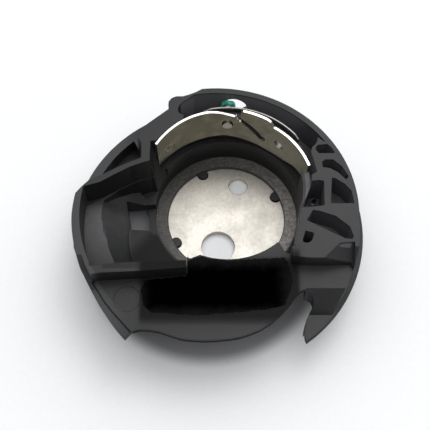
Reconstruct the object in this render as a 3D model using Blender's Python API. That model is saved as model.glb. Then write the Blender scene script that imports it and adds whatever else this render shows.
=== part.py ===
"""Drop-in bobbin case (inner hook) of a horizontal-hook sewing machine, seen with its mouth up.

Worked in millimetres and scaled to metres at the end.  Origin: centre of the under face of the
steel base plate, on the axis of the bobbin well.  +Z up, +Y to the back (the spring side).
"""
import bpy
import bmesh
import math
import numpy as np
from mathutils import Matrix, Vector

for _o in list(bpy.data.objects):
    bpy.data.objects.remove(_o, do_unlink=True)

# ---------------------------------------------------------------- driving dimensions (mm)
MM = 0.001
LEDGE_Z = 1.6            # top of the ledge ring the bobbin stands on
LEDGE_UNDER = 1.05       # under face of the ledge, over the base plate
WELL_R = 11.0            # bobbin well (class-15 bobbin, 20.3 mm)
LEDGE_R = 9.1            # opening in the ledge ring
PLATE_R = 10.6           # steel base plate
PLATE_T = 1.0
PLATE_GAP = 0.15         # round the base plate
CUP_R = 12.3             # outside of the well wall under the deck
CUP_FOOT = 0.2
CUP_TOP = 6.0            # the cup runs up into the body to here
RIM_Z = 13.9             # top of rim, ribs and well wall
DECK_Z = 11.0            # front deck
DECK_UNDER = 10.0
FLANGE_Z0 = 6.4          # bearing flange that runs in the hook race
FLANGE_Z1 = 7.4
FLOOR_Z = 4.3            # left pocket floor
SHELF_Z = 9.0            # shelf along the inside of the left rim
FOOT_Z = 2.5             # under face of the body skirt
HC = (-1.6, -4.25)       # centre of the rim, off the well axis
FC = (-1.31, -4.5)       # centre of the bearing flange
RIM_R = 20.2
RIM_IN = 19.3
FLANGE_R = 21.43
SKIRT_IN = 18.8
SKIRT_ROOF = 6.6         # roof of the recess behind the skirt
GP_C = (-0.24, -1.45)    # guide plate curve (inner face)
GP_R = 12.6
GP_T = 0.4
TS_C = (-0.1, -0.6)      # tension spring curve (inner face)
TS_R = 13.22
TS_T = 0.2
TS_WALL_R = 13.15        # outer face of the wall the tension spring lies on
CH_FLOOR = 8.5           # floor of the spring channel
WALL_Z = 12.7            # top of the wall between guide plate and spring
SCREW_Z = 11.3           # tension screw axis height
SCREW_A = 88.3           # direction of the tension screw axis, degrees seen from above
FIX_Z = 10.1             # fixing screw axis height
FIX_A = 50.0
SHANK_R = 0.75           # both screws
DIMPLE_A = 131.5         # pressed dimple at the left end of the guide plate
DIMPLE_Z = 9.6
LEAF_AXIS = Vector((8.79, 9.31, 10.1))       # where the spring leaf starts to bend
STAKE_ANGLES = (26.6, 115.0, 207.5, 297.0)   # rivets that hold the base plate
STAKE_AT = 8.8
BELOW = -1.0             # cutting tools start and end clear of the part
TOP = RIM_Z + 2.0
SHARP = math.radians(30)


# ---------------------------------------------------------------- helpers
def polar(c, r, deg):
    return (c[0] + r * math.cos(math.radians(deg)), c[1] + r * math.sin(math.radians(deg)))


def arc(c, r, a0, a1, n):
    return [polar(c, r, a0 + (a1 - a0) * i / n) for i in range(n + 1)]


def varied_arc(c, knots, a0, a1, n):
    """Arc whose radius follows knots = ((angle, radius), ...)."""
    angles = [k[0] for k in knots]
    radii = [k[1] for k in knots]
    steps = [a0 + (a1 - a0) * i / n for i in range(n + 1)]
    return [polar(c, float(np.interp(a, angles, radii)), a) for a in steps]


def make(name, bm):
    bmesh.ops.recalc_face_normals(bm, faces=bm.faces)
    me = bpy.data.meshes.new(name)
    bm.to_mesh(me)
    bm.free()
    ob = bpy.data.objects.new(name, me)
    bpy.context.scene.collection.objects.link(ob)
    return ob


def loft(pts0, z0, pts1, z1, name="tool", flat=False):
    """Solid between two outlines with the same number of corners; z may be one value or a list.
    flat says every face is plane, so none is split."""
    n = len(pts0)
    za = z0 if isinstance(z0, (list, tuple)) else [z0] * n
    zb = z1 if isinstance(z1, (list, tuple)) else [z1] * n
    bm = bmesh.new()
    lo = [bm.verts.new((x, y, z)) for (x, y), z in zip(pts0, za)]
    hi = [bm.verts.new((x, y, z)) for (x, y), z in zip(pts1, zb)]
    bm.faces.new(lo[::-1])
    bm.faces.new(hi)
    for i in range(n):
        j = (i + 1) % n
        bm.faces.new((lo[i], lo[j], hi[j], hi[i]))
    if not flat:
        bmesh.ops.triangulate(bm, faces=bm.faces)
    return make(name, bm)


def prism(pts, z0, z1, name="tool"):
    return loft(pts, z0, pts, z1, name, flat=True)


def lathe(profile, c=(0, 0), seg=96, name="tool"):
    """Closed ring profile [(r, z)]; r of 0 closes on the axis."""
    bm = bmesh.new()
    rings = []
    for r, z in profile:
        around = [polar(c, r, 360 * i / seg) for i in range(seg)] if r else [c]
        rings.append([bm.verts.new((x, y, z)) for x, y in around])
    for a, b in zip(rings, rings[1:] + rings[:1]):
        if len(a) == 1 and len(b) == 1:
            continue
        for i in range(seg):
            j = (i + 1) % seg
            if len(a) == 1:
                bm.faces.new((a[0], b[j], b[i]))
            elif len(b) == 1:
                bm.faces.new((a[i], a[j], b[0]))
            else:
                bm.faces.new((a[i], a[j], b[j], b[i]))
    return make(name, bm)


def rod(p0, p1, r, seg=32, name="tool", taper=None):
    p0, p1 = Vector(p0), Vector(p1)
    q = (p1 - p0).to_track_quat("Z", "X")
    bm = bmesh.new()
    a, b = [], []
    for i in range(seg):
        t = 2 * math.pi * i / seg
        u = Vector((math.cos(t), math.sin(t), 0))
        a.append(bm.verts.new(p0 + q @ (u * r)))
        b.append(bm.verts.new(p1 + q @ (u * (taper or r))))
    bm.faces.new(a[::-1])
    bm.faces.new(b)
    for i in range(seg):
        j = (i + 1) % seg
        bm.faces.new((a[i], a[j], b[j], b[i]))
    return make(name, bm)


def boolean(body, tool, op):
    m = body.modifiers.new("b", "BOOLEAN")
    m.operation = op
    m.solver = "EXACT"
    m.object = tool
    bpy.context.view_layer.update()
    dg = bpy.context.evaluated_depsgraph_get()
    me = bpy.data.meshes.new_from_object(body.evaluated_get(dg))
    body.modifiers.remove(m)
    old = body.data
    body.data = me
    bpy.data.meshes.remove(old)
    t = tool.data
    bpy.data.objects.remove(tool, do_unlink=True)
    bpy.data.meshes.remove(t)


def cut(body, *tools):
    for t in tools:
        boolean(body, t, "DIFFERENCE")
    return body


def join(body, *tools):
    for t in tools:
        boolean(body, t, "UNION")
    return body


def material(name, color, rough, metal):
    m = bpy.data.materials.new(name)
    m.use_nodes = True
    b = m.node_tree.nodes["Principled BSDF"]
    b.inputs["Base Color"].default_value = (*color, 1)
    b.inputs["Roughness"].default_value = rough
    b.inputs["Metallic"].default_value = metal
    return m


def finish(ob, name, mat, origin=(0, 0, 0)):
    """Clean the mesh, put its origin at a point given in mm, scale to metres."""
    ob.name = name
    ob.data.name = name
    bm = bmesh.new()
    bm.from_mesh(ob.data)
    bmesh.ops.remove_doubles(bm, verts=bm.verts, dist=1e-4)
    bmesh.ops.dissolve_degenerate(bm, edges=bm.edges, dist=1e-4)
    bmesh.ops.triangulate(bm, faces=[f for f in bm.faces if len(f.verts) > 4])
    bmesh.ops.translate(bm, vec=-Vector(origin), verts=bm.verts)
    bmesh.ops.scale(bm, vec=(MM, MM, MM), verts=bm.verts)
    bm.to_mesh(ob.data)
    bm.free()
    ob.location = Vector(origin) * MM
    ob.data.materials.clear()
    ob.data.materials.append(mat)
    ob.data.shade_smooth()
    ob.data.set_sharp_from_angle(angle=SHARP)
    return ob


def on_curve(c, r, deg, z):
    return Vector((*polar(c, r, deg), z))


def heading(deg):
    return Vector((*polar((0, 0), 1, deg), 0))


# ---------------------------------------------------------------- hook body: blank
# outside of the rim and deck about HC: it swells at both front corners
OUTSIDE_R = ((-75, 21.3), (-45, 21.3), (-35, 21.2), (-28, 21.1), (-20, 20.8), (-12, 20.5), (-5, RIM_R),
             (173.5, RIM_R), (184, 20.41), (194.4, 20.49), (200.9, 20.62), (207.6, 20.66),
             (214.2, 20.76), (220.7, 21.03), (227.9, 21.5), (236.2, 22.2), (245, 22.6), (250, RIM_R))
REAR_LUG = [(-4.6, 15.3), (-5.6, 14.85), (-6.6, 14.5), (-7.6, 14.5), (-8.3, 14.2), (-8.75, 13.6),
            (-8.8, 12.9), (-8.6, 12.35)]
REAR_LEFT = [(-10.0, 11.15), (-11.5, 9.9), (-12.9, 8.6), (-13.3, 7.4), (-12.6, 6.4), (-12.55, 3.85),
             (-15.4, 2.55), (-18.1, 1.0), (-20.0, 0.0), (-20.9, -0.95)]
body = lathe([(0, FOOT_Z), (RIM_R - 0.5, FOOT_Z), (RIM_R, FOOT_Z + 0.5), (RIM_R, FLANGE_Z0 + 0.5),
              (0, FLANGE_Z0 + 0.5)], HC, 120, "hook_body")
join(body, lathe([(0, FLANGE_Z0), (FLANGE_R - 0.2, FLANGE_Z0), (FLANGE_R, FLANGE_Z0 + 0.2),
                  (FLANGE_R, FLANGE_Z1 - 0.2), (FLANGE_R - 0.2, FLANGE_Z1), (0, FLANGE_Z1)], FC, 120))
# upper wall, ribs and well wall: everything that reaches the rim plane
upper = (varied_arc(HC, OUTSIDE_R, -75, 96, 70) + REAR_LUG + REAR_LEFT
         + varied_arc(HC, OUTSIDE_R, 173.5, 283.0, 46))
join(body, prism(upper, FLANGE_Z1 - 0.25, RIM_Z))
join(body, lathe([(0, CUP_FOOT), (CUP_R - 0.3, CUP_FOOT), (CUP_R, CUP_FOOT + 0.3), (CUP_R, CUP_TOP),
                  (0, CUP_TOP)]))

# the left front of flange and deck leans in towards its foot
LEAN_Z0 = 6.0
LEAN_LOW = ((188, 21.2), (192.5, 20.9), (198.5, 20.8), (203.3, 20.52), (210.1, 20.46), (217, 20.53),
            (224.8, 20.88), (233.6, 21.47), (240, 21.9))
LEAN_HIGH = ((188, 21.3), (192.5, 21.0), (198.5, 20.8), (203.3, 20.72), (210.1, 20.68), (217, 20.88),
             (224.8, 21.33), (233.6, 22.05), (240, 22.6))
outer = arc(HC, 30.0, 240, 188, 20)
cut(body, loft(varied_arc(HC, LEAN_LOW, 188, 240, 26) + outer, LEAN_Z0,
               varied_arc(HC, LEAN_HIGH, 188, 240, 26) + outer, DECK_Z))

# ---------------------------------------------------------------- underside
# recess behind the skirt, under the spring channel and the right-hand pockets
cut(body, prism(arc(HC, SKIRT_IN, -48, 118, 48) + arc((0, 0), CUP_R + 0.05, 112, -62, 48), 0,
                SKIRT_ROOF))
# open space under the front deck
UNDER_LEFT = [(-13.1, -21.3), (-12.6, -15.3), (-12.4, -14.7), (-4.7, -14.2)]
UNDER_RIGHT = [(10.6, -11.5), (11.0, -13.2), (11.0, -15.3), (10.6, -16.2), (10.5, -18.0), (10.4, -20.5),
               (9.9, -30), (-16.0, -30), (-15.6, -24.4)]
cut(body, prism(UNDER_LEFT + arc((0, 0), CUP_R + 0.05, 249, 316, 26) + UNDER_RIGHT, BELOW, DECK_UNDER))
# the left front corner is open below the deck too
cut(body, prism([(-30, -18.8), (-12.0, -18.8), (-12.0, -30), (-30, -30)], BELOW, DECK_UNDER - 0.05))
# the horn is a tongue of the flange
HORN_UNDER = FLANGE_Z0 - 2.2
cut(body, prism([(10, -17.4), (17.6, -15.2), (30, -15.2), (30, -30), (10, -30)], BELOW, HORN_UNDER))

# ---------------------------------------------------------------- front edge, notch and horn
LIP = [(-15.7, -24.6), (-13.15, -21.6), (-12.0, -21.3), (-10.6, -21.35), (-9.25, -21.6), (-7.9, -22.1),
       (-6.5, -22.55), (-5.15, -22.75), (-3.4, -22.85), (-1.75, -22.8), (0.3, -22.6), (1.6, -22.35),
       (3.0, -21.9), (4.4, -21.3), (5.75, -20.45), (7.15, -19.3), (8.45, -17.85)]
NOTCH = [(9.35, -16.55), (10.0, -15.85), (10.75, -15.5), (11.4, -15.6), (11.9, -16.05), (12.05, -16.6),
         (11.95, -17.2), (11.5, -17.9), (11.1, -18.7), (10.85, -19.7), (10.75, -20.6), (10.8, -21.4),
         (11.0, -22.0), (10.95, -22.6), (10.5, -22.9), (10.2, -23.2), (10.3, -29), (-15.7, -29)]
cut(body, prism(LIP + NOTCH, BELOW, TOP))

# ---------------------------------------------------------------- deck step and corner slopes
DECK_EDGE = [(-30, -15.6), (-18.2, -15.6), (-18.75, -14.45), (-17.4, -14.2), (-14.7, -14.08),
             (-12.4, -13.96), (-7.9, -13.6), (-5.75, -13.4), (-5.75, -6.0), (8.9, -6.0), (8.9, -11.75),
             (11.6, -12.0), (14.4, -11.95), (17.2, -11.8), (17.9, -13.5), (30, -13.5), (30, -30),
             (-30, -30)]
cut(body, prism(DECK_EDGE, DECK_Z, TOP))
# the rim runs down to the deck at both corners
left_slope = [(-30, -11.5), (-20.2, -11.5), (-19.6, -13.0), (-18.75, -14.45), (-18.2, -15.6),
              (-30, -15.6)]
left_slope_z = [RIM_Z, RIM_Z, 12.86, 11.82, DECK_Z, DECK_Z]
cut(body, loft(left_slope, left_slope_z, left_slope, TOP))
right_slope = [(17.2, -11.8), (17.2, -10.3), (30, -10.3), (30, -13.6), (17.9, -13.6)]
right_slope_z = [12.5, RIM_Z, RIM_Z, DECK_Z - 0.03, DECK_Z - 0.03]
cut(body, loft(right_slope, right_slope_z, right_slope, TOP))
facet = [(12.6, -12.6), (17.6, -12.6), (17.6, -9.6), (15.5, -9.75)]
cut(body, loft(facet, [RIM_Z, 11.2, 13.5, RIM_Z], facet, TOP))
# slope from the right deck down to the horn
horn_top = [(10.9, -15.35), (30, -15.35), (30, -18.0), (10.9, -18.0)]
HORN_Z = FLANGE_Z1 - 0.02
cut(body, loft(horn_top, [DECK_Z, DECK_Z, HORN_Z, HORN_Z], horn_top, TOP))
cut(body, prism([(10.2, -17.95), (30, -17.95), (30, -30), (10.2, -30)], HORN_Z, TOP))
# parting groove between the left of the deck and its raised edge
GROOVE = [(-18.72, -14.6), (-17.81, -15.91), (-16.89, -17.37), (-15.72, -18.82), (-14.41, -20.25),
          (-13.05, -21.75)]
GROOVE_W = 0.15
GROOVE_DEEP = 0.35
cut(body, prism(GROOVE + [(x - GROOVE_W, y - GROOVE_W) for x, y in GROOVE[::-1]],
                DECK_Z - GROOVE_DEEP, TOP))

# ---------------------------------------------------------------- the well
cut(body, lathe([(0, BELOW), (PLATE_R + PLATE_GAP, BELOW), (PLATE_R + PLATE_GAP, LEDGE_UNDER),
                 (LEDGE_R, LEDGE_UNDER), (LEDGE_R, LEDGE_Z), (WELL_R, LEDGE_Z), (WELL_R, TOP),
                 (0, TOP)]))
# seat of the guide plate in the back of the well wall
SEAT_Z = 6.3
cut(body, prism(arc(GP_C, GP_R + GP_T + 0.07, 17, 144, 44) + arc((0, 0), 7.0, 150, 12, 30), SEAT_Z, TOP))
# reliefs of the front of the well wall, left and right
cut(body, prism([(-6.4, -9.0), (-5.9, -11.15), (-4.73, -10.66), (-3.61, -10.2), (-2.9, -10.3),
                 (-2.6, -9.0)], 8.0, TOP))
cut(body, prism([(10.3, -3.9), (10.25, -4.8), (9.8, -7.8), (9.3, -10.3), (8.2, -9.9), (7.35, -8.5),
                 (5, -7), (4, -4)], 3.2, TOP))

# ---------------------------------------------------------------- spring channel
cut(body, prism(arc(HC, RIM_IN, 33.5, 100.0, 40)
                + [(-5.9, 13.95), (-6.6, 13.5), (-7.15, 12.85), (-7.35, 12.2), (-7.2, 11.6)]
                + arc(TS_C, TS_WALL_R, 118, 29, 40)
                + [(12.25, 4.8), (12.45, 5.6), (13.0, 6.15), (13.32, 6.8), (13.3, 7.35)],
                CH_FLOOR, TOP))
# the wall between guide plate and spring stands lower than the plate
cut(body, prism(arc(GP_C, GP_R + 0.2, 34, 122, 30) + arc(TS_C, TS_WALL_R + 0.15, 118, 31, 30), WALL_Z, TOP))
# low corner beyond the right end of the guide plate, and the low stretch of well wall below it
END_Z = 9.4
cut(body, prism(arc(GP_C, GP_R + 0.2, 17, 37, 8)
                + [(11.3, 6.2), (12.3, 5.2), (12.25, 4.7), (12.49, 3.75), (12.72, 2.6), (12.95, 1.5),
                   (12.5, 1.2), (12.1, 1.0)], END_Z, TOP))
STRIP_Z = 12.3
cut(body, prism([(12.35, 2.4), (12.15, 1.0), (12.15, -0.05), (11.55, -1.5), (11.05, -2.8), (10.8, -4.22),
                 (9.6, -4.4), (9.6, 0), (11.0, 2.4)], STRIP_Z, TOP))

# ---------------------------------------------------------------- rear left: pocket behind the flange
pocket_a = (arc(HC, 19.55, 131, 159, 14)
            + [(-18.7, 1.6), (-18.1, 1.15), (-15.4, 2.65), (-12.65, 3.95), (-12.7, 6.45), (-13.4, 7.4),
               (-13.35, 8.6)])
POCKET_A_Z = 5.0
cut(body, prism(pocket_a, POCKET_A_Z, TOP))

# ---------------------------------------------------------------- left pocket
RIB_A = [(-18.95, -13.2), (-17.48, -13.0), (-14.77, -12.71), (-12.04, -12.56), (-9.3, -12.49)]
WELL_SIDE = [(-5.7, -9.0), (-7, -4), (-7.5, 0)]
REAR_RIB = [(-10.0, 3.4), (-11.3, 3.35), (-12.6, 2.9), (-14.1, 2.3), (-16.2, 1.1), (-18.3, -0.2)]
SHELF_EDGE = ((165, 17.1), (176, 16.95), (187, 16.45), (193, 16.1), (203, 15.9), (213, 15.9))
cut(body, prism(arc(HC, RIM_IN, 170, 205.0, 16) + RIB_A + [(-5.7, -12.34)] + WELL_SIDE + REAR_RIB,
                SHELF_Z, TOP))


def left_floor(angle, r):
    """Height of the left pocket's floor: it climbs to the shelf, steeper towards the front."""
    foot = float(np.interp(angle, [155, 180], [5.1, FLOOR_Z]))
    slope = float(np.interp(angle, [165, 190], [0.86, 1.62]))
    return max(foot, min(foot + slope * (r - 13.2), SHELF_Z + 0.2))


def left_bank():
    """Solid whose top is left_floor, from a polar grid about HC."""
    angles = [150 + 4 * i for i in range(18)]
    radii = [11.0, 13.2, 13.8, 14.4, 15.0, 15.6, 16.2, 16.8, 17.4, 18.6]
    bm = bmesh.new()
    top = [[bm.verts.new((*polar(HC, r, a), left_floor(a, r) if r > 11.0 else FLOOR_Z - 1.0))
            for r in radii] for a in angles]
    low = [[bm.verts.new((*polar(HC, r, a), FLOOR_Z - 2.0)) for r in radii] for a in angles]
    last_a = len(angles) - 1
    last_r = len(radii) - 1
    for i in range(last_a):
        for j in range(last_r):
            bm.faces.new((top[i][j], top[i + 1][j], top[i + 1][j + 1], top[i][j + 1]))
            bm.faces.new((low[i][j], low[i][j + 1], low[i + 1][j + 1], low[i + 1][j]))
    for i in range(last_a):
        bm.faces.new((low[i][0], low[i + 1][0], top[i + 1][0], top[i][0]))
        bm.faces.new((low[i][last_r], top[i][last_r], top[i + 1][last_r], low[i + 1][last_r]))
    for j in range(last_r):
        bm.faces.new((low[0][j], top[0][j], top[0][j + 1], low[0][j + 1]))
        bm.faces.new((low[last_a][j], low[last_a][j + 1], top[last_a][j + 1], top[last_a][j]))
    return make("tool", bm)


low_part = prism(varied_arc(HC, SHELF_EDGE, 168, 212.5, 22)
                 + [(-14.77, -12.66), (-12.04, -12.5), (-9.3, -12.43), (-5.8, -12.29), (-5.8, -9.1),
                    (-7, -4.1), (-7.5, -0.1), (-10.0, 3.25), (-11.3, 3.25), (-12.6, 2.8), (-14.1, 2.2),
                    (-16.2, 1.0)], FLOOR_Z, SHELF_Z + 0.4)
cut(low_part, left_bank())
cut(body, low_part)
# window through the pocket floor, and the low sill between it and the well
cut(body, prism([(-15.25, 0.65), (-14.55, -3.3), (-11.5, -3.5), (-12.2, 0.9)], 0, 8))
SILL_Z = 2.75
cut(body, prism([(-12.3, 0.9), (-11.6, -3.45), (-11.55, -4.3), (-8, -4.6), (-8, 1.1), (-11.3, 1.0)],
                SILL_Z, 8))
# well wall opened beside the left end of the guide plate
cut(body, loft([(-9.2, 6.1), (-10.6, 3.2), (-10.9, 1.0), (-8.0, 1.0), (-8.0, 6.1)], 4.2,
               [(-11.3, 6.7), (-11.3, 3.1), (-10.9, 1.0), (-8.0, 1.0), (-8.0, 6.7)], RIM_Z + 0.3))

# ---------------------------------------------------------------- right-hand pockets (outline, floor)
RIGHT_POCKETS = (
    ([(13.03, 5.61), (13.34, 5.95), (14.67, 6.12), (15.2, 5.61), (15.7, 4.76), (15.6, 4.59), (13.41, 4.59),
      (13.0, 5.1)], 10.6),
    ([(13.77, 3.1), (14.23, 3.5), (15.39, 3.5), (16.6, 2.4), (17.45, 0.75), (17.1, 0.2), (15.98, 1.42),
      (14.86, 2.09), (13.86, 2.25)], 10.0),
    ([(15.05, 0.44), (15.48, 0.44), (16.85, -0.54), (17.7, -1.6), (17.95, -3.59), (14.66, -3.59)], 9.6),
    ([(12.15, -0.05), (13.16, 0.11), (13.87, -0.05), (13.72, -3.91), (12.79, -4.06), (10.85, -4.25),
      (11.05, -2.8), (11.55, -1.5)], 8.2),
    ([(12.05, -4.69), (13.03, -4.85), (15.24, -5.64), (17.1, -7.3), (17.5, -8.75), (17.3, -9.15),
      (16.27, -9.03), (14.25, -7.96), (11.13, -6.26)], 9.8),
    ([(10.85, -7.9), (11.9, -8.2), (12.0, -8.5), (11.65, -9.4), (11.1, -9.75), (10.5, -9.65),
      (10.4, -9.3)], 8.4))
for outline, floor_z in RIGHT_POCKETS:
    cut(body, prism(outline, floor_z, TOP))
# small hole through the floor of the fourth pocket
cut(body, prism([(12.45, -1.15), (12.85, -1.05), (13.35, -0.45), (13.4, -0.05), (12.9, -0.1),
                 (12.5, -0.6)], SKIRT_ROOF - 0.5, 8.5))

# ---------------------------------------------------------------- stakes and screw holes
STAKE_R = 0.8
STAKE_HEAD_R = 1.2
for ang in STAKE_ANGLES:
    x, y = polar((0, 0), STAKE_AT, ang)
    join(body, rod((x, y, 0.3), (x, y, LEDGE_Z - 0.15), STAKE_R, 24),
         rod((x, y, 0.06), (x, y, 0.42), STAKE_HEAD_R, 24))

screw_dir = heading(SCREW_A)
fix_dir = heading(FIX_A)
screw_at = on_curve(GP_C, GP_R, SCREW_A, SCREW_Z)
fix_at = on_curve(GP_C, GP_R, FIX_A, FIX_Z)
BORE_R = SHANK_R + 0.1
cut(body, rod(screw_at - screw_dir, screw_at + screw_dir * 2.6, BORE_R, 24),
    rod(fix_at - fix_dir, fix_at + fix_dir * 2.6, BORE_R, 24))
# access hole through the rim, in line with the tension screw
cut(body, rod((1.25, 13.9, 10.7), (1.45, 18.0, 10.7), 1.9, 28))
# ejector mark on the deck
cut(body, rod((-13.9, -16.9, DECK_Z - 0.1), (-13.9, -16.9, TOP), 1.85, 36))
finish(body, "hook_body", material("black_plastic", (0.012, 0.012, 0.013), 0.55, 0.0))

# ---------------------------------------------------------------- base plate
plate = lathe([(0, 0), (PLATE_R - 0.1, 0), (PLATE_R, 0.1), (PLATE_R, PLATE_T), (0, PLATE_T)], seg=80)
cut(plate, rod((1.95, 6.0, BELOW), (1.95, 6.0, 3), 1.55, 32),
    rod((-1.3, -4.7, BELOW), (-1.3, -4.7, 3), 2.62, 40))
for ang in STAKE_ANGLES:
    x, y = polar((0, 0), STAKE_AT, ang)
    cut(plate, rod((x, y, BELOW), (x, y, 3), STAKE_R + 0.1, 24),
        rod((x, y, BELOW), (x, y, 0.5), STAKE_HEAD_R + 0.1, 24))
finish(plate, "base_plate", material("plate_steel", (0.55, 0.53, 0.5), 0.4, 1.0))


# ---------------------------------------------------------------- curved sheets
def sheet(c, r, t, low_edge, high_edge, n):
    """Sheet on the curve (c, r) between two edges given as ((angle, z), ...) by rising angle."""
    rows = 4
    a0, a1 = low_edge[0][0], low_edge[-1][0]
    low_a, low_z = zip(*low_edge)
    high_a, high_z = zip(*high_edge)
    bm = bmesh.new()
    inner, outside = [], []
    for i in range(n + 1):
        a = a1 + (a0 - a1) * i / n
        z0 = float(np.interp(a, low_a, low_z))
        z1 = float(np.interp(a, high_a, high_z))
        heights = [z0 + (z1 - z0) * k / rows for k in range(rows + 1)]
        inner.append([bm.verts.new((*polar(c, r, a), z)) for z in heights])
        outside.append([bm.verts.new((*polar(c, r + t, a), z)) for z in heights])
    for i in range(n):
        for k in range(rows):
            bm.faces.new((inner[i][k], inner[i + 1][k], inner[i + 1][k + 1], inner[i][k + 1]))
            bm.faces.new((outside[i][k], outside[i][k + 1], outside[i + 1][k + 1], outside[i + 1][k]))
        bm.faces.new((inner[i][0], outside[i][0], outside[i + 1][0], inner[i + 1][0]))
        bm.faces.new((inner[i][rows], inner[i + 1][rows], outside[i + 1][rows], outside[i][rows]))
    for i in (0, n):
        for k in range(rows):
            bm.faces.new((inner[i][k], inner[i][k + 1], outside[i][k + 1], outside[i][k]))
    return make("tool", bm)


def through_plate(corners):
    """Tool through the guide plate, corners given as (angle, z) on its curve."""
    n = len(corners)
    bm = bmesh.new()
    near = [bm.verts.new(on_curve(GP_C, GP_R - 1.2, a, z)) for a, z in corners]
    far = [bm.verts.new(on_curve(GP_C, GP_R + 1.4, a, z)) for a, z in corners]
    bm.faces.new(near)
    bm.faces.new(far[::-1])
    for i in range(n):
        j = (i + 1) % n
        bm.faces.new((near[i], far[i], far[j], near[j]))
    return make("tool", bm)


nickel = material("nickel", (0.62, 0.58, 0.52), 0.3, 1.0)
GP_LOW = ((18.6, 10.6), (20.6, 9.1), (24, 8.6), (34, 8.2), (46, 6.6), (58, 6.7), (69, 7.2), (80, 7.7),
          (90, 8.2), (105, 8.0), (125, 7.7), (143, 7.4))
GP_HIGH = ((18.6, 13.7), (28, 13.8), (44, 13.8), (57, 13.7), (57.5, 14.6), (60, 14.9), (79, 15.1),
           (82, 13.3), (88, 13.7), (94, 14.3), (101, 14.7), (113, 14.7), (122, 14.5), (130, 14.2),
           (137, 13.9), (143, 13.6))
slit_end = on_curve(GP_C, GP_R, 63.2, 9.3)
slit_dir = heading(63.2)
dimple_at = on_curve(GP_C, GP_R, DIMPLE_A, DIMPLE_Z)
dimple_dir = heading(DIMPLE_A)
dimple_ring = cut(rod(dimple_at - dimple_dir, dimple_at + dimple_dir * 0.2, 0.85, 28),
                  rod(dimple_at - dimple_dir * 2, dimple_at + dimple_dir, 0.58, 28))
guide = sheet(GP_C, GP_R, GP_T, GP_LOW, GP_HIGH, 44)
cut(guide, through_plate([(82.4, 17.0), (82.4, 12.9), (79.4, 12.3), (79.4, 17.0)]),
    through_plate([(82.4, 13.4), (79.3, 13.3), (62.2, 9.6), (64.4, 8.9)]),
    rod(slit_end - slit_dir, slit_end + slit_dir, 0.55, 20),
    rod(screw_at - screw_dir, screw_at + screw_dir, BORE_R, 24),
    rod(fix_at - fix_dir, fix_at + fix_dir, BORE_R, 24), dimple_ring)
finish(guide, "guide_plate", nickel)

TS_LOW = ((36.5, 8.9), (40, 8.75), (60, 8.75), (80, 9.4), (100, 10.2), (109, 11.0))
TS_HIGH = ((36.5, 13.2), (40, 13.6), (60, 13.65), (100, 13.5), (109, 12.6))
leaf = sheet(TS_C, TS_R, TS_T, TS_LOW, TS_HIGH, 42)
cut(leaf, rod(screw_at - screw_dir, screw_at + screw_dir * 4, BORE_R + 0.05, 24),
    rod(fix_at - fix_dir, fix_at + fix_dir * 4, BORE_R + 0.05, 24))
finish(leaf, "tension_spring", nickel, LEAF_AXIS)


# ---------------------------------------------------------------- screws
def to_curve(p, d, c, r):
    """Distance from p along d to the circle (c, r)."""
    q = Vector((p.x - c[0], p.y - c[1], 0))
    along = q.dot(d)
    return -along + math.sqrt(along * along - q.length_squared + r * r)


def slot_tool(p, d, seat, length, width, turn):
    """Driver slot: a bar across the head, its floor at distance seat along the screw."""
    across = Vector((0, 0, 1)).cross(d)
    m = Matrix((across, Vector((0, 0, 1)), d)).transposed().to_4x4()
    x, y = length / 2, width / 2
    bar = prism([(-x, -y), (x, -y), (x, y), (-x, y)], 0, 1.0)
    bar.data.transform(Matrix.Translation(p + d * seat) @ m
                       @ Matrix.Rotation(math.radians(turn), 4, "Z"))
    return bar


SLOT_DEEP = 0.42
HEAD_GAP = 0.12
steel = material("screw_steel", (0.5, 0.5, 0.5), 0.35, 1.0)

# tension screw: slotted head on a collar; its tip stands proud inside the well
TENSION_HEAD = 2.0
seat_t = to_curve(screw_at, screw_dir, TS_C, TS_R + TS_T) + HEAD_GAP
head_t = screw_at + screw_dir * seat_t
ob = rod(screw_at - screw_dir * 0.3, head_t + screw_dir * 0.1, SHANK_R, 24)
join(ob, rod(head_t, head_t + screw_dir * 0.4, 1.35, 32),
     rod(head_t + screw_dir * 0.2, head_t + screw_dir * TENSION_HEAD, 1.0, 32, taper=0.8))
cut(ob, slot_tool(screw_at, screw_dir, seat_t + TENSION_HEAD - SLOT_DEEP, 4.0, SLOT_DEEP, 20))
finish(ob, "tension_screw", steel, screw_at)

# fixing screw: cross recess; its tip stops inside the guide plate
FIX_HEAD = 0.8
FIX_TIP = 0.3
seat_f = to_curve(fix_at, fix_dir, TS_C, TS_R + TS_T) + HEAD_GAP
head_f = fix_at + fix_dir * seat_f
ob = rod(fix_at + fix_dir * FIX_TIP, head_f + fix_dir * 0.1, SHANK_R, 24)
join(ob, rod(head_f, head_f + fix_dir * FIX_HEAD, 1.4, 32, taper=1.2))
cut(ob, slot_tool(fix_at, fix_dir, seat_f + FIX_HEAD - SLOT_DEEP, 1.9, 0.28, 20),
    slot_tool(fix_at, fix_dir, seat_f + FIX_HEAD - SLOT_DEEP, 1.9, 0.28, 110))
finish(ob, "fixing_screw", steel)

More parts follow.
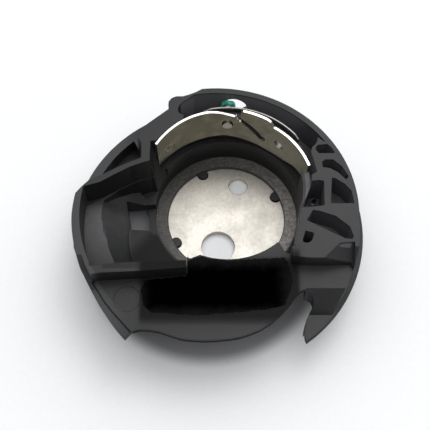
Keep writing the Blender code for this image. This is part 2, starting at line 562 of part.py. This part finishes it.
# ---------------------------------------------------------------- locking lacquer
# a dab over the outer end of the tension screw's head, thinner at its ends
LAC_IN = 1.03
LAC_OUT = 1.24
LAC_START = seat_t + 1.1
LAC_END = seat_t + 1.95
LAC_STEPS = 14
across = Vector((0, 0, 1)).cross(screw_dir)
bm = bmesh.new()
rings = []
for i in range(LAC_STEPS + 1):
    t = math.radians(-25 + 190 * i / LAC_STEPS)
    swell = math.sin(math.pi * (i + 0.6) / (LAC_STEPS + 1.2))
    r_out = LAC_IN + (LAC_OUT - LAC_IN) * (0.25 + 0.75 * swell)
    start = LAC_START + 0.12 * math.sin(3.1 * i)
    end = LAC_END - 0.1 * math.cos(2.3 * i) ** 2
    u = Vector((0, 0, 1)) * math.sin(t) - across * math.cos(t)
    ring = ((LAC_IN, start), (r_out, start + 0.15), (r_out, end - 0.15), (LAC_IN, end))
    rings.append([bm.verts.new(screw_at + screw_dir * q + u * r) for r, q in ring])
for near, far in zip(rings, rings[1:]):
    for k in range(4):
        m = (k + 1) % 4
        bm.faces.new((near[k], far[k], far[m], near[m]))
bm.faces.new(rings[0])
bm.faces.new(rings[-1][::-1])
finish(make("lacquer_dab", bm), "lacquer_dab", material("lacquer", (0.02, 0.35, 0.25), 0.3, 0.0),
       screw_at)
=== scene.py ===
"""Looks of a drop-in bobbin case: matte black moulding, steel base plate, nickel guide plate and spring."""
import math
import random

import bpy
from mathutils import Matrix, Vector


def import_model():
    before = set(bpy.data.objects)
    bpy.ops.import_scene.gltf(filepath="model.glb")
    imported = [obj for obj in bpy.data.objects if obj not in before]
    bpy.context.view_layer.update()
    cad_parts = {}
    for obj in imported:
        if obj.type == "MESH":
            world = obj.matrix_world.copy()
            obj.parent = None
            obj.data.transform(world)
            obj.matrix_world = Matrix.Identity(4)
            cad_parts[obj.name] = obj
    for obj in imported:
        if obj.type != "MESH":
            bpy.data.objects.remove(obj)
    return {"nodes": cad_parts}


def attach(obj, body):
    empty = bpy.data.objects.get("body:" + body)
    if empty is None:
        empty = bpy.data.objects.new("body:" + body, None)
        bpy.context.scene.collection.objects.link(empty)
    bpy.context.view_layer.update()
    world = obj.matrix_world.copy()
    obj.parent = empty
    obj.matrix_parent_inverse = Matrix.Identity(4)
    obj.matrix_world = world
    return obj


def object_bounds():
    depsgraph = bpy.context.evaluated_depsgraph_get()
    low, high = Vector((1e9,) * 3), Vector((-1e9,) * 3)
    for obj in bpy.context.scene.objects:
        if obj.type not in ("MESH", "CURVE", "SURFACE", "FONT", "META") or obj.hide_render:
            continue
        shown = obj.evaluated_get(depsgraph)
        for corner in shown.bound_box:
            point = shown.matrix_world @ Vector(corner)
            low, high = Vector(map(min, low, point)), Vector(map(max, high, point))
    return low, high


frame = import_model()
cad_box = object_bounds()
nodes = frame["nodes"]

# Places, radii and heights are in millimetres in the row frame, unless a line says otherwise.
MM = 0.001
WELL_CENTRE = (0.0, 0.0)
RIM_CENTRE = (-1.6, -4.25)
GUIDE_CENTRE = (-0.24, -1.45)       # curve of the guide plate's inner face
GUIDE_R = 12.6
DECK_Z = 11.0
PANEL_MIDDLE = (-1.9, -15.2)
PANEL_OUTLINE = [
    (-11.5, -14.15), (-8.0, -13.8), (-5.65, -13.55), (-5.6, -11.3), (-4.73, -10.85), (-3.6, -10.6),
    (-2.5, -10.9), (-1.2, -11.12), (0.3, -11.18), (3.0, -11.0), (4.57, -10.96), (7.96, -10.75),
    (8.49, -11.57), (8.73, -12.63), (9.09, -14.13), (8.75, -15.62), (8.29, -16.64), (7.84, -17.81),
    (5.76, -18.39), (1.65, -18.82), (-1.77, -19.11), (-5.18, -19.25), (-8.60, -18.96), (-10.66, -18.82),
    (-11.65, -17.81), (-12.01, -15.62),
]
PANEL_STEP = 0.22                   # spacing of the points of its ragged edge
PANEL_RAGGED = 0.09
PANEL_SUNK = 0.02
PANEL_PROUD = 0.035
SHADE_MIDDLE = (-3.0, -4.3)         # middle of the painted shadow on the floor under the case
FLOOR_GAP = 0.05
FLOOR_HALF = 1.2                    # metres
# Near black, for the panel's ink and for painted shade on the lip's front face.
INK_AND_SHADE = (0.0005, 0.0005, 0.0005)
SHADE = (0.002, 0.002, 0.002)


# ---------------------------------------------------------------- node helpers
class Tree:
    """Short names for the shader nodes that the materials below are built from."""

    def __init__(self, name):
        self.mat = bpy.data.materials.new(name)
        self.mat.use_nodes = True
        self.nodes = self.mat.node_tree.nodes
        self.links = self.mat.node_tree.links
        self.bsdf = self.nodes["Principled BSDF"]
        self.place = self.nodes.new("ShaderNodeTexCoord").outputs["Object"]

    def link(self, source, target):
        self.links.new(source, target)

    def feed(self, socket, value):
        """Links a socket, or sets its value."""
        if isinstance(value, bpy.types.NodeSocket):
            self.link(value, socket)
        else:
            socket.default_value = value

    def set(self, **values):
        """Sets sockets of the Principled shader: Base_Color=..., Roughness=... ."""
        for key, value in values.items():
            self.feed(self.bsdf.inputs[key.replace("_", " ")], value)

    def noise(self, size_mm, detail=3.0, rough=0.55, vector=None):
        """Noise whose features are about size_mm across."""
        n = self.nodes.new("ShaderNodeTexNoise")
        n.inputs["Scale"].default_value = 1.0 / (size_mm * MM)
        n.inputs["Detail"].default_value = detail
        n.inputs["Roughness"].default_value = rough
        self.link(vector or self.place, n.inputs["Vector"])
        return n.outputs["Fac"]

    def cells(self, size_mm):
        n = self.nodes.new("ShaderNodeTexVoronoi")
        n.inputs["Scale"].default_value = 1.0 / (size_mm * MM)
        self.link(self.place, n.inputs["Vector"])
        return n.outputs["Distance"]

    def range(self, value, low, high, to_low, to_high, smooth=False):
        """Goes from to_low to to_high while value goes from low to high."""
        n = self.nodes.new("ShaderNodeMapRange")
        n.interpolation_type = "SMOOTHSTEP" if smooth else "LINEAR"
        self.link(value, n.inputs["Value"])
        for key, v in zip(("From Min", "From Max", "To Min", "To Max"), (low, high, to_low, to_high)):
            n.inputs[key].default_value = v
        return n.outputs["Result"]

    def rise(self, value, low, high, smooth=False):
        return self.range(value, low, high, 0.0, 1.0, smooth)

    def fall(self, value, low, high, smooth=False):
        return self.range(value, low, high, 1.0, 0.0, smooth)

    def band(self, value, low, high, soft):
        """1 where value lies between low and high, with edges twice soft wide."""
        return self.product(
            self.rise(value, low - soft, low + soft, True),
            self.fall(value, high - soft, high + soft, True),
        )

    def math(self, operation, *values):
        n = self.nodes.new("ShaderNodeMath")
        n.operation = operation
        for socket, v in zip(n.inputs, values):
            self.feed(socket, v)
        return n.outputs["Value"]

    def product(self, first, *others):
        for other in others:
            first = self.math("MULTIPLY", first, other)
        return first

    def most(self, first, *others):
        for other in others:
            first = self.math("MAXIMUM", first, other)
        return first

    def line(self, x, slope, height):
        """Height over x of a straight line."""
        return self.math("MULTIPLY_ADD", x, slope, height)

    def mix(self, fac, a, b):
        """Colour a where fac is 0, b where it is 1."""
        n = self.nodes.new("ShaderNodeMix")
        n.data_type = "RGBA"
        for key, v in (("Factor_Float", fac), ("A_Color", a), ("B_Color", b)):
            socket = next(s for s in n.inputs if s.identifier == key)
            self.feed(socket, (*v, 1.0) if isinstance(v, tuple) else v)
        return next(s for s in n.outputs if s.identifier == "Result_Color")

    def bevel(self, radius_mm):
        n = self.nodes.new("ShaderNodeBevel")
        n.samples = 6
        n.inputs["Radius"].default_value = radius_mm * MM
        return n.outputs["Normal"]

    def bump(self, height, depth_mm, strength, normal=None):
        n = self.nodes.new("ShaderNodeBump")
        n.inputs["Distance"].default_value = depth_mm * MM
        n.inputs["Strength"].default_value = strength
        self.link(height, n.inputs["Height"])
        if normal is not None:
            self.link(normal, n.inputs["Normal"])
        return n.outputs["Normal"]

    def axes(self):
        """X, Y and Z of the place, in millimetres."""
        n = self.nodes.new("ShaderNodeSeparateXYZ")
        self.link(self.place, n.inputs["Vector"])
        return [self.math("MULTIPLY", n.outputs[k], 1000.0) for k in "XYZ"]

    def distance(self, x, y, centre):
        """Distance of the place x, y from a centre in plan."""
        dx = self.math("SUBTRACT", x, centre[0])
        dy = self.math("SUBTRACT", y, centre[1])
        return self.math("SQRT", self.math("ADD", self.product(dx, dx), self.product(dy, dy)))


class Places:
    """Where a point of the moulding lies, with its distances from the rim's and the well's axes."""

    def __init__(self, t):
        self.x, self.y, self.z = t.axes()
        self.rim = t.distance(self.x, self.y, RIM_CENTRE)
        self.well = t.distance(self.x, self.y, WELL_CENTRE)


# ---------------------------------------------------------------- marks, painted light and painted shade on the moulding
def lit_spring_channel(t, at):
    """Sides and floor of the spring channel, made paler as painted light."""
    return t.product(
        t.band(at.rim, 10.0, 19.38, 0.04),
        t.rise(at.well, 12.8, 13.0),
        t.band(at.z, 8.3, 13.7, 0.1),
        t.rise(at.y, 6.0, 8.0, True),
        t.rise(at.x, -7.2, -6.7, True),
        t.range(at.x, 9.0, 13.0, 0.85, 0.25, True),
    )


def left_pocket_light(t, at, streak):
    """Painted light on the shelf and bank of the left pocket, but none on the wall at its far end."""
    far_wall = t.math("MINIMUM", t.line(at.x, 0.375, 7.49), t.line(at.x, 0.571, 10.25))
    return t.product(
        t.band(at.rim, 13.0, 19.4, 0.6),
        t.band(at.z, 4.2, 9.2, 0.1),
        t.fall(at.x, -15.5, -13.5, True),
        t.range(streak, 0.3, 0.7, 0.7, 1.0),
        t.range(at.y, -2.5, -0.5, 1.0, 0.3, True),
        t.rise(at.y, -11.5, -4.0),
        t.rise(t.math("SUBTRACT", far_wall, at.y), 0.0, 0.12),
    )


def paler_left_rim(t, at):
    """Left side of the rim, paler towards the left."""
    return t.product(t.band(at.rim, 19.3, 22.0, 0.1), t.range(at.x, -17.0, -13.0, 0.8, 0.0, True))


def flange(t, at):
    """The region between the well wall and the inside of the rim."""
    return t.product(t.rise(at.well, 11.4, 11.5), t.fall(at.rim, 19.58, 19.62))


def lit_right_pockets(t, at):
    """Painted light in the pockets of the right-hand flange."""
    return t.product(
        flange(t, at),
        t.band(at.z, 8.1, 13.7, 0.1),
        t.rise(at.x, 10.2, 10.3),
        t.band(at.y, -10.2, 6.3, 0.1),
    )


def panel_ink(t, at):
    """Ink of the blanked-out panel, which runs up the rib beside it and thins out around it."""
    from_edge = t.math("SUBTRACT", t.line(at.x, 0.16, -11.67), at.y)
    on_rib = t.product(
        t.band(at.x, -11.0, -5.5, 0.5),
        t.band(at.z, 11.0, 14.2, 0.05),
        t.band(from_edge, 0.0, 1.6, 0.12),
        t.range(at.x, -11.5, -5.5, 0.1, 0.8),
    )
    around = t.product(t.band(at.x, -12.4, 10.2, 0.7), t.band(at.y, -20.9, -10.3, 1.7), 0.9)
    return t.most(on_rib, around)


def lip_face_shade(t, at):
    """Painted shade on the front face of the deck's lip."""
    return t.product(
        t.band(at.z, 9.0, 10.8, 0.06),
        t.rise(at.y, -19.5, -20.0, True),
        t.rise(at.x, -13.2, -12.9),
        t.fall(at.x, 10.0, 10.4),
    )


def rear_pocket_light_and_shade(t, at):
    """Painted light on the walls, and painted shade on the floor, of the pocket behind the left one."""
    beyond_rib = t.math("GREATER_THAN", at.y, t.line(at.x, 0.50, 10.5))
    pocket = t.product(flange(t, at), t.fall(at.x, -12.5, -12.3), beyond_rib)
    walls = t.product(t.band(at.z, 5.1, 9.6, 0.05), t.range(at.y, 6.4, 7.4, 1.0, 0.15, True))
    bottom = t.band(at.z, 4.9, 5.04, 0.02)
    return t.product(pocket, walls), t.product(pocket, bottom)


def shaded_corner(t, at):
    """Front corner of the left pocket, next to the well."""
    return t.product(
        t.fall(at.z, 4.4, 4.8),
        t.rise(at.well, 11.1, 11.3),
        t.range(t.math("SUBTRACT", at.x, at.y), -13.0, -5.5, 0.0, 0.8, True),
        t.fall(at.y, -3.4, -3.0),
        t.rise(at.y, -12.6, -12.3),
    )


def rib_top(t, at):
    """Matte top of the front rib."""
    return t.product(
        t.range(at.z, 13.7, 13.85, 0.0, 0.72),
        t.band(at.y, -13.6, -12.3, 0.1),
        t.rise(at.x, -18.0, -17.0),
    )


def rubbed_and_lit_ledge(t, at):
    """Ledge ring, rubbed by bobbins, less pale towards the back; also paler to the right as painted light.
    """
    return t.product(
        t.band(at.well, 9.2, 11.05, 0.1),
        t.band(at.z, 1.3, 1.75, 0.05),
        t.range(t.noise(0.5, 5.0, 0.75), 0.38, 0.62, 0.35, 1.0),
        t.range(at.y, 1.0, 8.0, 1.0, 0.5),
    )


# ---------------------------------------------------------------- materials
def black_plastic():
    """Black moulding with fine spark-eroded grain and soft edges, inked or rubbed in places, and paler or
    darker in places as painted light and painted shade.
    """
    t = Tree("black_moulding")
    at = Places(t)
    streak = t.noise(1.1, 4.0, 0.65)
    tone = t.math("ADD", t.product(t.noise(5.0, 4.0), 0.6), t.product(streak, 0.4))
    # Ink of the panel together with painted shade on the lip's front face.
    ink_and_lip_shade = t.most(panel_ink(t, at), lip_face_shade(t, at))
    lit_pocket_walls, shaded_pocket_bottom = rear_pocket_light_and_shade(t, at)
    corner = shaded_corner(t, at)
    marks_and_painted_light = (
        # Painted light: the moulding is paler towards the right.
        (t.range(at.x, -14.0, 14.0, 0.0, 0.55), (0.027, 0.027, 0.028)),
        (lit_spring_channel(t, at), (0.180, 0.176, 0.192)),
        (left_pocket_light(t, at, streak),
         t.mix(t.rise(at.z, 8.8, 9.0), (0.060, 0.060, 0.062), (0.094, 0.093, 0.096))),
        (paler_left_rim(t, at), (0.036, 0.036, 0.037)),
        (lit_right_pockets(t, at), (0.085, 0.083, 0.090)),
        (ink_and_lip_shade, INK_AND_SHADE),
        (lit_pocket_walls, (0.085, 0.082, 0.092)),
        (shaded_pocket_bottom, SHADE),
        (corner, SHADE),
        # Painted light: the rubbed ledge is much paler to the right.
        (rubbed_and_lit_ledge(t, at),
         t.mix(t.rise(at.x, -9.0, 9.0), (0.095, 0.089, 0.078), (0.38, 0.355, 0.32))),
    )
    colour = t.mix(t.rise(tone, 0.35, 0.65), (0.008, 0.008, 0.009), (0.016, 0.016, 0.017))
    for mask, coat in marks_and_painted_light:
        colour = t.mix(mask, colour, coat)
    matte = t.most(ink_and_lip_shade, corner, t.product(shaded_pocket_bottom, 0.6), rib_top(t, at))
    grain = t.bump(t.noise(0.16, 2.0, 0.6), 0.02, 0.5, t.bevel(0.14))
    t.set(
        Base_Color=colour,
        Roughness=t.most(t.range(tone, 0.3, 0.7, 0.44, 0.56), matte),
        Specular_IOR_Level=0.35,
        Normal=t.bump(t.cells(0.3), 0.012, 0.35, grain),
    )
    return t.mat


def dead_black():
    """Flat black ink of the blanked-out panel, thinner towards its edges."""
    t = Tree("dead_black")
    x, y, _ = t.axes()
    blot = t.line(t.noise(1.3, 3.0), 1.6, -0.8)
    far_x, far_y = (
        t.math("ABSOLUTE", t.math("SUBTRACT", t.math("ADD", place, blot), middle))
        for place, middle in zip((x, y), PANEL_MIDDLE)
    )
    thin = t.most(t.rise(far_y, 2.2, 4.6, True), t.rise(far_x, 8.2, 11.2, True))
    t.set(
        Base_Color=t.mix(thin, (0.0003, 0.0003, 0.0003), (0.0085, 0.0080, 0.0085)),
        Roughness=1.0,
        Specular_IOR_Level=0.0,
    )
    return t.mat


def plate_steel():
    """Dull tumbled steel: fine mottling and faint scuffs, warm grey."""
    t = Tree("tumbled_steel")
    mottle = t.noise(0.55, 4.0, 0.7)
    cloud = t.noise(3.5)
    t.set(
        Base_Color=t.mix(t.rise(mottle, 0.35, 0.65), (0.47, 0.445, 0.395), (0.57, 0.54, 0.49)),
        Metallic=1.0,
        Roughness=t.range(cloud, 0.35, 0.65, 0.38, 0.50),
        Normal=t.bump(t.cells(0.35), 0.01, 0.25, t.bump(mottle, 0.02, 0.35, t.bevel(0.08))),
    )
    return t.mat


def nickel():
    """Satin nickel sheet with rolling lines along the strip; the face in the well is dark and brown as
    painted shade, with an uneven stain that lightens towards the right, and the top edges are near-white as
    painted highlight.
    """
    t = Tree("satin_nickel")
    x, y, _ = t.axes()
    stretch = t.nodes.new("ShaderNodeMapping")
    stretch.inputs["Scale"].default_value = (1.0, 1.0, 9.0)
    t.link(t.place, stretch.inputs["Vector"])
    lines = t.noise(0.9, 4.0, 0.6, vector=stretch.outputs["Vector"])
    stain = t.math("ADD", t.noise(2.2), t.range(x, -4.0, 8.0, 0.12, -0.18))
    shaded_stained_face = t.mix(t.rise(stain, 0.35, 0.65), (0.29, 0.275, 0.215), (0.19, 0.18, 0.135))
    inner_face = t.fall(t.distance(x, y, GUIDE_CENTRE), GUIDE_R + 0.02, GUIDE_R + 0.08)
    t.set(
        # Painted light: near-white top edges as painted highlight, dark inner face as painted shade.
        Base_Color=t.mix(inner_face, (0.98, 0.96, 0.90), shaded_stained_face),
        Metallic=1.0,
        Roughness=t.range(lines, 0.3, 0.7, 0.26, 0.38),
        Normal=t.bump(lines, 0.01, 0.15, t.bevel(0.06)),
    )
    return t.mat


def spring_steel():
    """Darker rolled strip of the tension spring."""
    t = Tree("spring_steel")
    lines = t.noise(0.5, 4.0, 0.6)
    t.set(
        Base_Color=t.mix(t.rise(lines, 0.35, 0.65), (0.20, 0.195, 0.19), (0.30, 0.29, 0.27)),
        Metallic=1.0,
        Roughness=t.range(lines, 0.3, 0.7, 0.3, 0.42),
        Normal=t.bump(lines, 0.01, 0.15, t.bevel(0.05)),
    )
    return t.mat


def turned_steel():
    t = Tree("turned_steel")
    fine = t.noise(0.3)
    t.set(
        Base_Color=t.mix(t.rise(fine, 0.3, 0.7), (0.46, 0.46, 0.45), (0.62, 0.61, 0.59)),
        Metallic=1.0,
        Roughness=t.range(fine, 0.3, 0.7, 0.25, 0.4),
        Normal=t.bump(fine, 0.01, 0.2, t.bevel(0.05)),
    )
    return t.mat


def lacquer():
    """Green locking lacquer, dried in an uneven blob."""
    t = Tree("green_lacquer")
    blot = t.noise(0.5)
    t.set(
        Base_Color=t.mix(t.rise(blot, 0.4, 0.65), (0.010, 0.22, 0.14), (0.10, 0.50, 0.38)),
        Roughness=t.range(blot, 0.3, 0.7, 0.2, 0.4),
        Coat_Weight=0.3,
        Normal=t.bump(blot, 0.05, 0.6),
    )
    return t.mat


def paint(node, mat):
    nodes[node].data.materials.clear()
    nodes[node].data.materials.append(mat)


screw_steel = turned_steel()
for node, mat in (
    ("hook_body", black_plastic()),
    ("base_plate", plate_steel()),
    ("guide_plate", nickel()),
    ("tension_spring", spring_steel()),
    ("tension_screw", screw_steel),
    ("fixing_screw", screw_steel),
    ("lacquer_dab", lacquer()),
):
    paint(node, mat)


def add_mesh(name, verts, faces, mat):
    """Object with its own mesh, in the scene."""
    mesh = bpy.data.meshes.new(name)
    mesh.from_pydata(verts, [], faces)
    mesh.materials.append(mat)
    ob = bpy.data.objects.new(name, mesh)
    bpy.context.scene.collection.objects.link(ob)
    return ob


# ---------------------------------------------------------------- blanked-out panel on the deck
def ragged_outline():
    """The panel's outline in short steps, each point a little off its line."""
    rng = random.Random(7)
    points = []
    for (x0, y0), (x1, y1) in zip(PANEL_OUTLINE, PANEL_OUTLINE[1:] + PANEL_OUTLINE[:1]):
        steps = max(2, round(math.hypot(x1 - x0, y1 - y0) / PANEL_STEP))
        for k in range(steps):
            f = k / steps
            x = x0 + (x1 - x0) * f + rng.uniform(-PANEL_RAGGED, PANEL_RAGGED)
            y = y0 + (y1 - y0) * f + rng.uniform(-PANEL_RAGGED, PANEL_RAGGED)
            points.append((x, y))
    return points


def blank_panel():
    """Thin patch that lies on the deck."""
    outline = ragged_outline()
    n = len(outline)
    heights = (DECK_Z - PANEL_SUNK, DECK_Z + PANEL_PROUD)
    verts = [(x * MM, y * MM, z * MM) for z in heights for x, y in outline]
    sides = [(i, (i + 1) % n, n + (i + 1) % n, n + i) for i in range(n)]
    caps = [tuple(range(n))[::-1], tuple(range(n, 2 * n))]
    ob = add_mesh("blank_panel", verts, caps + sides, dead_black())
    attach(ob, "case")


blank_panel()


# ---------------------------------------------------------------- studio
def paper():
    """Pale paper, with a painted shadow where the case stands over it."""
    t = Tree("paper")
    x, y, _ = t.axes()
    shaded = t.product(
        t.fall(t.distance(x, y, SHADE_MIDDLE), 17.0, 19.6, True),
        t.rise(t.distance(x, y, WELL_CENTRE), 10.0, 12.0, True),
    )
    sheet = t.mix(t.rise(t.noise(0.8), 0.3, 0.7), (0.83, 0.835, 0.84), (0.85, 0.855, 0.86))
    t.set(
        Base_Color=t.mix(shaded, sheet, (0.28, 0.28, 0.295)),
        Roughness=0.7,
        Specular_IOR_Level=0.2,
    )
    return t.mat


def floor():
    corners = [(-FLOOR_HALF, -FLOOR_HALF, 0), (FLOOR_HALF, -FLOOR_HALF, 0),
               (FLOOR_HALF, FLOOR_HALF, 0), (-FLOOR_HALF, FLOOR_HALF, 0)]
    ob = add_mesh("floor", corners, [(0, 1, 2, 3)], paper())
    ob.location.z = cad_box[0].z - FLOOR_GAP * MM


def area_light(name, place, size, power):
    """Square lamp that shines on the case; place and size in metres, power in watts."""
    data = bpy.data.lights.new(name, "AREA")
    data.shape = "SQUARE"
    data.size = size
    data.energy = power
    ob = bpy.data.objects.new(name, data)
    ob.location = place
    ob.rotation_euler = (-Vector(place)).to_track_quat("-Z", "Y").to_euler()
    bpy.context.scene.collection.objects.link(ob)


def world(toward, dark, bright, low, high):
    """Sky that is brightest in the direction toward and falls off smoothly to dark on the other side."""
    w = bpy.data.worlds.new("studio")
    w.use_nodes = True
    tree = w.node_tree
    place = tree.nodes.new("ShaderNodeTexCoord")
    dot = tree.nodes.new("ShaderNodeVectorMath")
    dot.operation = "DOT_PRODUCT"
    dot.inputs[1].default_value = Vector(toward).normalized()
    tree.links.new(place.outputs["Generated"], dot.inputs[0])
    fall = tree.nodes.new("ShaderNodeMapRange")
    fall.interpolation_type = "SMOOTHSTEP"
    tree.links.new(dot.outputs["Value"], fall.inputs["Value"])
    for key, v in zip(("From Min", "From Max", "To Min", "To Max"), (low, high, dark, bright)):
        fall.inputs[key].default_value = v
    back = tree.nodes["Background"]
    back.inputs["Color"].default_value = (0.98, 0.99, 1.0, 1)
    tree.links.new(fall.outputs["Result"], back.inputs["Strength"])
    bpy.context.scene.world = w


def camera(elevation, distance, target, lens):
    """Looks along +Y at the target, from so many radians above the horizon and so many metres away."""
    data = bpy.data.cameras.new("camera")
    data.lens = lens
    data.sensor_width = 36.0
    data.clip_start = 0.005
    ob = bpy.data.objects.new("camera", data)
    ob.location = Vector(target) + distance * Vector((0, -math.cos(elevation), math.sin(elevation)))
    ob.rotation_euler = (math.pi / 2 - elevation, 0, 0)
    bpy.context.scene.collection.objects.link(ob)
    bpy.context.scene.camera = ob


floor()
world(toward=(0.1, 0.32, 0.95), dark=0.12, bright=1.75, low=0.22, high=0.97)
area_light("softbox", place=(0.10, 0.17, 0.42), size=0.20, power=0.35)
camera(elevation=math.radians(64.0), distance=0.130, target=(-0.00177, 0.00052, 0.0016), lens=69.24)
bpy.context.scene.view_settings.view_transform = "Standard"
